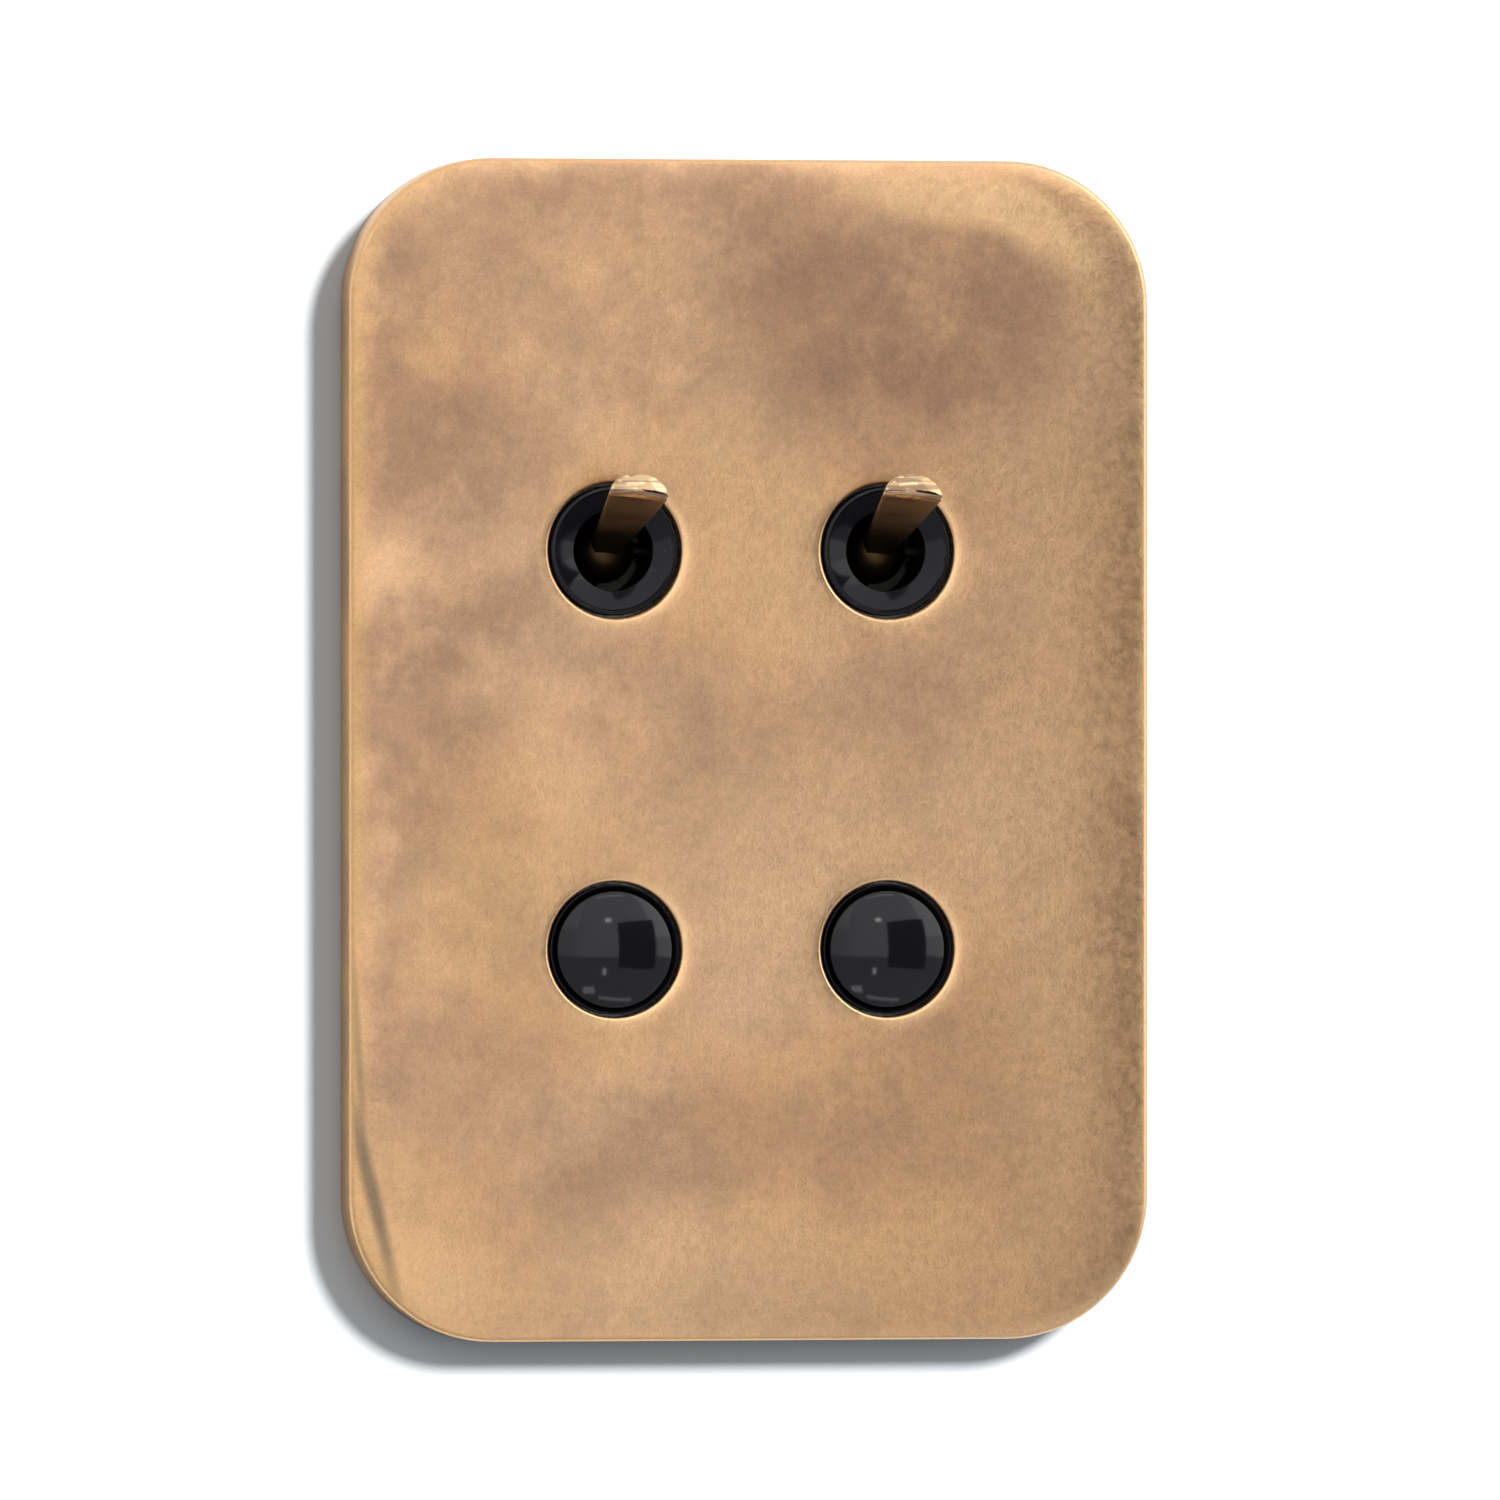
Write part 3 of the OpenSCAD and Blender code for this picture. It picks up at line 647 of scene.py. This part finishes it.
def faceplate():
    """The plate: loops round the outline and the holes, triangles between them, and a hollow back."""
    points, faces = [], []

    def loop(pairs, depth):
        first = len(points)
        for x, z in pairs:
            points.append((x, depth(x, z) if callable(depth) else depth, z))
        return list(range(first, first + len(pairs)))

    def bridge(a, b):
        for k in range(len(a)):
            n = (k + 1) % len(a)
            faces.append([a[k], a[n], b[n], b[k]])

    def fill(border, holes, spacing):
        """Triangles between a border loop and hole loops, with points of their own inside."""
        rings = [border] + holes
        flat = [Vector((points[i][0], points[i][2])) for ring in rings for i in ring]
        known = [i for ring in rings for i in ring]
        edges, start = [], 0
        for ring in rings:
            edges += [(start + k, start + (k + 1) % len(ring)) for k in range(len(ring))]
            start += len(ring)
        hole_rows = []
        for hole, ring in zip(HOLES, holes):
            centre = Vector((hole.x, hole.z))
            on_ring = Vector((points[ring[0]][0], points[ring[0]][2]))
            hole_rows.append((centre, (on_ring - centre).length))
        inset = edge_distance(points[border[-1]][0], points[border[-1]][2])
        if spacing:
            row = 0
            z = -PLATE_H / 2
            while z < PLATE_H / 2:
                x = -PLATE_W / 2 + (spacing / 2 if row % 2 else 0)
                while x < PLATE_W / 2:
                    here = Vector((x, z))
                    clear = edge_distance(x, z) > inset + spacing / 2
                    if clear and all((here - c).length > r + spacing / 2 for c, r in hole_rows):
                        known.append(len(points))
                        points.append((x, front_surface(x, z), z))
                        flat.append(here)
                    x += spacing
                z += spacing * math.sqrt(3) / 2
                row += 1
        made, _, triangles, origin, _, _ = delaunay_2d_cdt(flat, edges, [], 0, 1e-9)
        for triangle in triangles:
            centre = sum((made[i] for i in triangle), Vector((0, 0))) / 3
            if edge_distance(*centre) > inset and all((centre - c).length > r for c, r in hole_rows):
                faces.append([known[origin[i][0]] for i in triangle])

    turns = [k / 12 * math.pi / 2 for k in range(13)]
    rolled = [
        loop(outline(EDGE * (1 - math.cos(t))),
             lambda x, z, t=t: front_surface(x, z) + EDGE * (1 - math.sin(t)))
        for t in turns
    ]
    insets = [EDGE + (SOFT_WIDTH - EDGE) * (k / 10) ** 1.7 for k in range(1, 11)]
    rolled += [loop(outline(d), front_surface) for d in insets]
    for a, b in zip(rolled, rolled[1:]):
        bridge(a, b)

    def circle(hole, radius, segments=112):
        angles = [math.tau * k / segments for k in range(segments)]
        return [(hole.x + radius * math.cos(a), hole.z + radius * math.sin(a)) for a in angles]

    rims, backs = [], []
    for hole in HOLES:
        steps = [k / 7 * math.pi / 2 for k in range(8)]
        ring = [
            loop(circle(hole, HOLE_R + RIM_ROLL * (1 - math.cos(t))),
                 lambda x, z, t=t: front_surface(x, z) + RIM_ROLL * (1 - math.sin(t)))
            for t in steps
        ]
        dish = [HOLE_R + RIM_ROLL + DISH_WIDTH * k / 4 for k in range(1, 5)]
        ring += [loop(circle(hole, radius), front_surface) for radius in dish]
        inner = [loop(circle(hole, HOLE_R), SKIN)] + ring
        for a, b in zip(inner, inner[1:]):
            bridge(a, b)
        rims.append(ring[-1])
        backs.append(inner[0])
    fill(rolled[-1], rims, FILL_SPACING)

    wall = [rolled[0], loop(outline(0), WALL_SIDE - BACK_ROUND)]
    wall += [
        loop(outline(BACK_ROUND * (1 - math.cos(t))), WALL_SIDE - BACK_ROUND * (1 - math.sin(t)))
        for t in [math.pi / 6, math.pi / 3, math.pi / 2]
    ]
    wall += [loop(outline(RIM - BACK_ROUND), WALL_SIDE)]
    wall += [loop(outline(RIM), WALL_SIDE + (SKIN - WALL_SIDE) * k) for k in (0.05, 0.9)]
    wall += [loop(outline(RIM + 0.3 * MM), SKIN)]
    for a, b in zip(wall, wall[1:]):
        bridge(a, b)
    fill(wall[-1], backs, 0)
    plate = tidy(new_object("faceplate_brass", points, faces), sharp_deg=50)
    return settle(plate, ROOT, PATINA, "aged_brass", "faceplate")


# ---------------------------------------------------------------- toggle switches

def bezel(side):
    """The black ring: a thin lip, a shallow cone down to the lever's hole, and a bore behind."""
    node = f"toggle_bezel_{side}"
    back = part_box(node)[1].y
    lip, hole, bore = 6.1 * MM, 4.12 * MM, 5.95 * MM
    shape = [
        (BEZEL_R, back, 0.1 * MM), (BEZEL_R, FACE, 0.38 * MM),
        (lip + 0.10 * MM, FACE, 0.07 * MM), (lip - 0.06 * MM, FACE + 0.16 * MM, 0.05 * MM),
        (hole, FACE + 0.72 * MM, 0.10 * MM), (hole, FACE + 1.0 * MM, 0.04 * MM),
        (bore, FACE + 1.0 * MM, 0), (bore, back, 0),
    ]
    ring = lathe(f"bezel_ring_{side}", rounded(shape), middle(node), segments=160)
    return settle(ring, ROOT, BEZEL_BLACK, "black_gloss", node)


def lever_section(s, arc=26, flat=12):
    """The bar's outline s metres out from the pivot: arched above, and cut by a flat below."""
    radius = NECK_R + (TIP_R - NECK_R) * (s - BALL_R / 2) / (LEVER_LENGTH - BALL_R / 2)
    share = s / LEVER_LENGTH
    low = FLAT_BELOW[0] + (FLAT_BELOW[1] - FLAT_BELOW[0]) * share
    high = FLAT_ABOVE[0] + (FLAT_ABOVE[1] - FLAT_ABOVE[0]) * share
    first = -math.asin(low / radius)
    right = []
    for k in range(arc + 1):
        turn = first + (math.pi / 2 - first) * k / arc
        x, z = radius * math.cos(turn), radius * math.sin(turn)
        if z > 0:
            z *= high / radius
        right.append((x, z))
    left = [(-x, z) for x, z in reversed(right[:-1])]

    def between(a, b):
        return [(a[0] + (b[0] - a[0]) * k / flat, a[1] + (b[1] - a[1]) * k / flat) for k in range(1, flat)]

    return right + left + between(left[-1], right[0])


def lever_bar(name):
    """The bar alone, along -Y from the pivot, with a shallow domed end that rolls over to the lower flat."""
    end_roll = 0.6 * MM
    shrinking = (1, 0.985, 0.96, 0.93, 0.89, 0.84, 0.77, 0.67, 0.55, 0.4, 0.22, 0.08)

    def dome(x, z):
        above_flat = max(0, z + FLAT_BELOW[1])
        dip = max(0, end_roll - above_flat)
        roll = end_roll - math.sqrt(end_roll ** 2 - dip ** 2)
        return LEVER_LENGTH - DOME_R + math.sqrt(DOME_R ** 2 - x * x - z * z) - roll

    stations = [BALL_R * 0.6 + (LEVER_LENGTH - 1.6 * MM - BALL_R * 0.6) * k / 22 for k in range(23)]
    rings = [[(x, s, z) for x, z in lever_section(s)] for s in stations]
    rim = lever_section(LEVER_LENGTH - 0.5 * MM)
    heart = (FLAT_ABOVE[1] - FLAT_BELOW[1]) / 2
    for q in shrinking:
        flat = [(x * q, heart + (z - heart) * q) for x, z in rim]
        rings.append([(x, dome(x, z), z) for x, z in flat])
    count = len(rim)
    points = [(x, -s, z) for ring in rings for x, s, z in ring]
    faces = [list(range(count)), [(len(rings) - 1) * count + k for k in range(count)]]
    for i in range(len(rings) - 1):
        for k in range(count):
            n = (k + 1) % count
            faces.append([i * count + k, i * count + n, (i + 1) * count + n, (i + 1) * count + k])
    return baked_bevel(tidy(new_object(name, points, faces), sharp_deg=180), 0.22 * MM, 4, 24)


def lever(side):
    """The bat: the flatted bar, the ball that it turns on, and the tail that moves the contacts."""
    node = f"toggle_lever_{side}"
    centre = middle(f"toggle_bezel_{side}")
    tail_r, tail_ball, tail_at = 0.9 * MM, 1.6 * MM, 9.5 * MM
    shape = [
        (BALL_R * math.sin(math.radians(t)), -BALL_R * math.cos(math.radians(t)))
        for t in range(0, 164, 6)
    ]
    shape += [(tail_r, BALL_R + 0.2 * MM), (tail_r, tail_at - 1.4 * MM)]
    shape += [
        (tail_ball * math.sin(math.radians(t)), tail_at - tail_ball * math.cos(math.radians(t)))
        for t in range(36, 181, 12)
    ]
    ball = lathe(f"ball_{side}", shape, Vector((0, 0, 0)), segments=64, closed=False)
    bar = lever_bar(f"bat_lever_{side}")
    bar.data.transform(Matrix.Rotation(LEVER_ROLL, 4, "Y"))
    union = bar.modifiers.new("union", "BOOLEAN")
    union.operation = "UNION"
    union.solver = "EXACT"
    union.object = ball
    bake(bar)
    bpy.data.objects.remove(ball)
    to_pivot = Matrix.Translation((centre.x, PIVOT_Y, centre.z))
    bar.data.transform(to_pivot @ Matrix.Rotation(-LEVER_TILT, 4, "X"))
    tidy(bar, sharp_deg=48, merge=1e-6)
    return settle(bar, f"lever_{side}", LEVER, "lever_brass", node)


# ---------------------------------------------------------------- push-buttons

def button(side):
    """The domed cap, the collar that it slides in, and the spring that returns it."""
    cap_node, collar_node = f"button_cap_{side}", f"button_collar_{side}"
    centre = middle(collar_node)
    low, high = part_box(cap_node)
    radius = (high.x - low.x) / 2
    rise = 1.4 * MM
    rim = low.y + rise
    dome = (radius * radius + rise * rise) / (2 * rise)
    widest = math.asin((radius - 0.22 * MM) / dome)
    shape = []
    for k in range(25):
        turn = widest * k / 24
        shape.append((dome * math.sin(turn), low.y + dome * (1 - math.cos(turn))))
    edge = rounded([
        (*shape[-1], 0), (radius, rim + 0.02 * MM, 0.26 * MM), (radius, high.y, 0.12 * MM),
        (0, high.y, 0),
    ], closed=False)
    shape += [tuple(p) for p in edge[1:]]
    cap = lathe(f"dome_cap_{side}", shape, centre, segments=160, closed=False)
    settle(cap, f"button_{side}", CAP_BLACK, "black_gloss", cap_node)

    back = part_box(collar_node)[1].y
    bore, stem, thread = radius + 0.1 * MM, 1.97 * MM, 5.9 * MM
    floor, seat = -2.3 * MM, -1.5 * MM
    section = rounded([
        (BEZEL_R, seat, 0.08 * MM), (BEZEL_R, FACE, 0.06 * MM), (BEZEL_R - 0.14 * MM, FACE, 0.04 * MM),
        (bore, FACE + 0.9 * MM, 0.05 * MM), (bore, floor, 0.15 * MM), (stem, floor, 0.05 * MM),
        (stem, back, 0.05 * MM), (thread, back, 0.3 * MM), (thread, seat, 0),
    ])
    collar = lathe(f"button_ring_{side}", section, centre, segments=160)
    settle(collar, ROOT, COLLAR_BLACK, "black_gloss", collar_node)

    low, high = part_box(f"button_spring_{side}")
    wire, turns = 0.28 * MM, 6
    mean = (high.x - low.x) / 2 - wire
    steps = 28 * turns
    path = [
        Vector((
            centre.x + mean * math.cos(math.tau * turns * k / steps),
            low.y + wire + (high.y - low.y - 2 * wire) * k / steps,
            centre.z + mean * math.sin(math.tau * turns * k / steps),
        ))
        for k in range(steps + 1)
    ]
    coil = tube_along(f"return_spring_{side}", path, wire, sides=10)
    settle(coil, f"button_{side}", ZINC, "zinc_steel", f"button_spring_{side}")
    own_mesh(coil)


# ---------------------------------------------------------------- everything behind the plate

def carry_over():
    """Rounds the edges of the moulded and metal pieces and gives every node its material."""
    looks = {
        "grid_frame": (SHEET, "sheet_steel", 0.15), "strike_discs": (SHEET, "sheet_steel", 0.08),
        "magnets": (NICKEL, "nickel", 0.15), "module_screws": (ZINC, "zinc_steel", 0.12),
        "box_screws": (ZINC, "zinc_steel", 0.15), "earth_screw": (GREEN, "green_screw", 0.15),
        "earth_washer": (BRASS, "brass_parts", 0.1),
    }
    for side in SIDES:
        looks.update({
            f"toggle_bush_{side}": (BLACKENED, "blackened_metal", 0.15),
            f"lock_washer_{side}": (ZINC, "zinc_steel", 0),
            # Painted shade: the steel pivot pins take the blackened metal, dark like the shade deep in the
            # hole.
            f"pivot_pin_{side}": (BLACKENED, "nickel", 0.1),
            f"contact_carriage_{side}": (NYLON, "carriage_ivory", 0.2),
            f"carriage_contact_{side}": (COPPER, "copper_contact", 0.1),
            f"detent_spring_{side}": (ZINC, "zinc_steel", 0.05),
            f"toggle_housing_{side}": (HOUSING, "housing_black", 0.22),
            f"toggle_base_{side}": (BOARD, "base_grey", 0.2),
            f"toggle_terminals_{side}": (BRASS, "brass_parts", 0.18),
            f"toggle_terminal_screws_{side}": (ZINC, "zinc_steel", 0.12),
            f"button_nut_{side}": (BRASS, "brass_parts", 0.15),
            f"button_stem_{side}": (NYLON, "carriage_ivory", 0.15),
            f"button_contact_{side}": (COPPER, "copper_contact", 0.1),
            f"button_housing_{side}": (HOUSING, "housing_black", 0.22),
            f"button_base_{side}": (BOARD, "base_grey", 0.2),
            f"button_terminals_{side}": (BRASS, "brass_parts", 0.18),
            f"button_terminal_screws_{side}": (ZINC, "zinc_steel", 0.12),
        })
    for node, (material, slot, width) in looks.items():
        if width:
            settle(softened(node, width * MM), NODES[node]["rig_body"], material, slot, node)
        NODES[node].data.materials.clear()
        NODES[node].data.materials.append(material)


# ---------------------------------------------------------------- room, lights and camera

WALL_HALF = 0.35
FLOOR_HALF, FLOOR_LEVEL = 3.0, -0.4


def stage_material(name, colour):
    """A matt paint of the given grey, a trace bluish and slightly uneven."""
    s = Shader(name)
    low, high = colour * 0.985, colour * 1.015
    tone = s.mix(s.noise(6, 3, 0.5), rgb(low * 0.97, low, low * 1.03), rgb(high * 0.97, high, high * 1.03))
    s.set(Base_Color=tone, Roughness=0.9, Specular_IOR_Level=0.1)
    return s.material


def slab_with_opening(name, y0, y1, opening, material):
    """A square board between y0 and y1, with a hole that follows the plate's outline, opening inside it."""
    hole = outline(opening)
    far = []
    for p in hole:
        far.append(p * (WALL_HALF / max(abs(p.x), abs(p.y), 1e-9)))
    rings = [(hole, y0), (far, y0), (far, y1), (hole, y1)]
    points = [(p.x, y, p.y) for ring, y in rings for p in ring]
    n = len(hole)
    faces = [
        [r * n + k, r * n + (k + 1) % n, ((r + 1) % 4) * n + (k + 1) % n, ((r + 1) % 4) * n + k]
        for r in range(4) for k in range(n)
    ]
    board = tidy(new_object(name, points, faces))
    board.data.materials.append(material)
    return board


def room():
    """A pale wall behind the plate, open behind it, and a floor well below."""
    paint, board = stage_material("wall_paint", 0.33), stage_material("wall_board", 0.5)
    front = slab_with_opening("wall_front", 0.05 * MM, 1.0 * MM, 2.3 * MM, paint)
    slab_with_opening("wall_back", 1.1 * MM, 12 * MM, 2.5 * MM, board)
    corners = [(x * FLOOR_HALF, y * FLOOR_HALF, FLOOR_LEVEL) for x, y in ((-1, -1), (1, -1), (1, 1), (-1, 1))]
    floor = new_object("floor", corners, [[0, 1, 2, 3]])
    floor.data.materials.append(stage_material("floor_paint", 0.4))
    return front


def direction(azimuth, elevation):
    """A unit vector: azimuth 0 is straight out of the wall, and positive turns to the right."""
    a, e = math.radians(azimuth), math.radians(elevation)
    return Vector((math.sin(a) * math.cos(e), -math.cos(a) * math.cos(e), math.sin(e)))


def aim(obj, at, target=(0, 0, 0)):
    obj.location = at
    obj.rotation_euler = (Vector(target) - Vector(at)).to_track_quat("-Z", "Y").to_euler()


def dark_card(azimuth, elevation, wide, high):
    """A dark panel of the given angular size, in degrees, that only reflections see."""
    distance = 0.7
    half_w = distance * math.tan(math.radians(wide / 2))
    half_h = distance * math.tan(math.radians(high / 2))
    corners = [(-half_w, -half_h, 0), (half_w, -half_h, 0), (half_w, half_h, 0), (-half_w, half_h, 0)]
    card = new_object("dark_card", corners, [[0, 1, 2, 3]])
    card.data.materials.append(stage_material("card_black", 0.02))
    aim(card, direction(azimuth, elevation) * distance)
    card.visible_camera = False
    card.visible_shadow = False
    card.visible_diffuse = False


def soft_light(name, azimuth, elevation, wide, high, radiance, distance=1.0):
    """A rectangular light of the given angular size, in degrees, that the camera doesn't see."""
    data = bpy.data.lights.new(name, "AREA")
    data.shape = "RECTANGLE"
    data.size = 2 * distance * math.tan(math.radians(wide / 2))
    data.size_y = 2 * distance * math.tan(math.radians(high / 2))
    data.energy = radiance * math.pi * data.size * data.size_y
    obj = bpy.data.objects.new(name, data)
    bpy.context.scene.collection.objects.link(obj)
    aim(obj, direction(azimuth, elevation) * distance)
    obj.visible_camera = False


def sky():
    """Light from all round: a little brighter to the right, dimmer to the left and below."""
    world = bpy.data.worlds.new("studio")
    bpy.context.scene.world = world
    world.use_nodes = True
    tree = world.node_tree
    background = tree.nodes["Background"]
    background.inputs["Color"].default_value = (1, 1, 1, 1)
    place = tree.nodes.new("ShaderNodeTexCoord")
    axes = tree.nodes.new("ShaderNodeSeparateXYZ")
    tree.links.new(place.outputs["Generated"], axes.inputs[0])
    total = None
    ramps = [
        ("Z", 0.10, 0.70, 1.34, 1.36), ("Z", -0.60, -0.10, -0.60, 0.0),
        ("X", 0.20, 0.90, 0.0, 0.30), ("X", -0.70, -0.15, -0.35, 0.0),
    ]
    for axis, low, high, to_low, to_high in ramps:
        ramp = tree.nodes.new("ShaderNodeMapRange")
        ramp.interpolation_type = "SMOOTHSTEP"
        tree.links.new(axes.outputs[axis], ramp.inputs["Value"])
        for key, value in (("From Min", low), ("From Max", high), ("To Min", to_low), ("To Max", to_high)):
            ramp.inputs[key].default_value = value
        if total is None:
            total = ramp.outputs[0]
            continue
        add = tree.nodes.new("ShaderNodeMath")
        tree.links.new(total, add.inputs[0])
        tree.links.new(ramp.outputs[0], add.inputs[1])
        total = add.outputs[0]
    tree.links.new(total, background.inputs["Strength"])


def lights(wall):
    """A sun for the wall alone, which throws the plate's shadow on it, and soft lights for the switch."""
    sun = bpy.data.lights.new("wall_key", "SUN")
    sun.energy = 12
    sun.angle = math.radians(13)
    key = bpy.data.objects.new("wall_key", sun)
    bpy.context.scene.collection.objects.link(key)
    aim(key, (0.68, -1.0, 0.62))
    only_wall = bpy.data.collections.new("wall_only")
    only_wall.objects.link(wall)
    key.light_linking.receiver_collection = only_wall
    soft_light("key_box", 62, 30, 36, 44, 0.8)
    soft_light("glint_high", 3, 24, 5, 3, 7.0)
    soft_light("glint_low", -1, -22, 3, 8, 4.0)
    soft_light("glint_foot", -17, -38, 9, 6, 2.2, distance=0.5)
    soft_light("strip_top", 8, 47, 24, 3, 1.6)
    soft_light("strip_foot", 12, -46, 26, 3, 1.6, distance=0.5)
    soft_light("left_box", -42, 30, 34, 26, 0.35)
    soft_light("back_box", 215, 35, 45, 35, 1.2)
    soft_light("back_side", 128, 8, 25, 45, 1.2)
    dark_card(28.5, 2, 35, 40)
    sky()


def camera():
    """A long lens, a little to the left of the plate's front."""
    distance, seen = 2.0, 153.4 * MM
    data = bpy.data.cameras.new("camera")
    data.lens = data.sensor_width * distance / seen
    data.clip_start, data.clip_end = 0.01, 20
    obj = bpy.data.objects.new("camera", data)
    bpy.context.scene.collection.objects.link(obj)
    target = Vector((0.41 * MM, -3 * MM, 0))
    aim(obj, target + direction(-11.4, 0) * distance, target)
    bpy.context.scene.camera = obj


camera()
lights(room())
bpy.context.scene.view_settings.view_transform = "Standard"

faceplate()
for side in SIDES:
    bezel(side)
    lever(side)
    button(side)
carry_over()
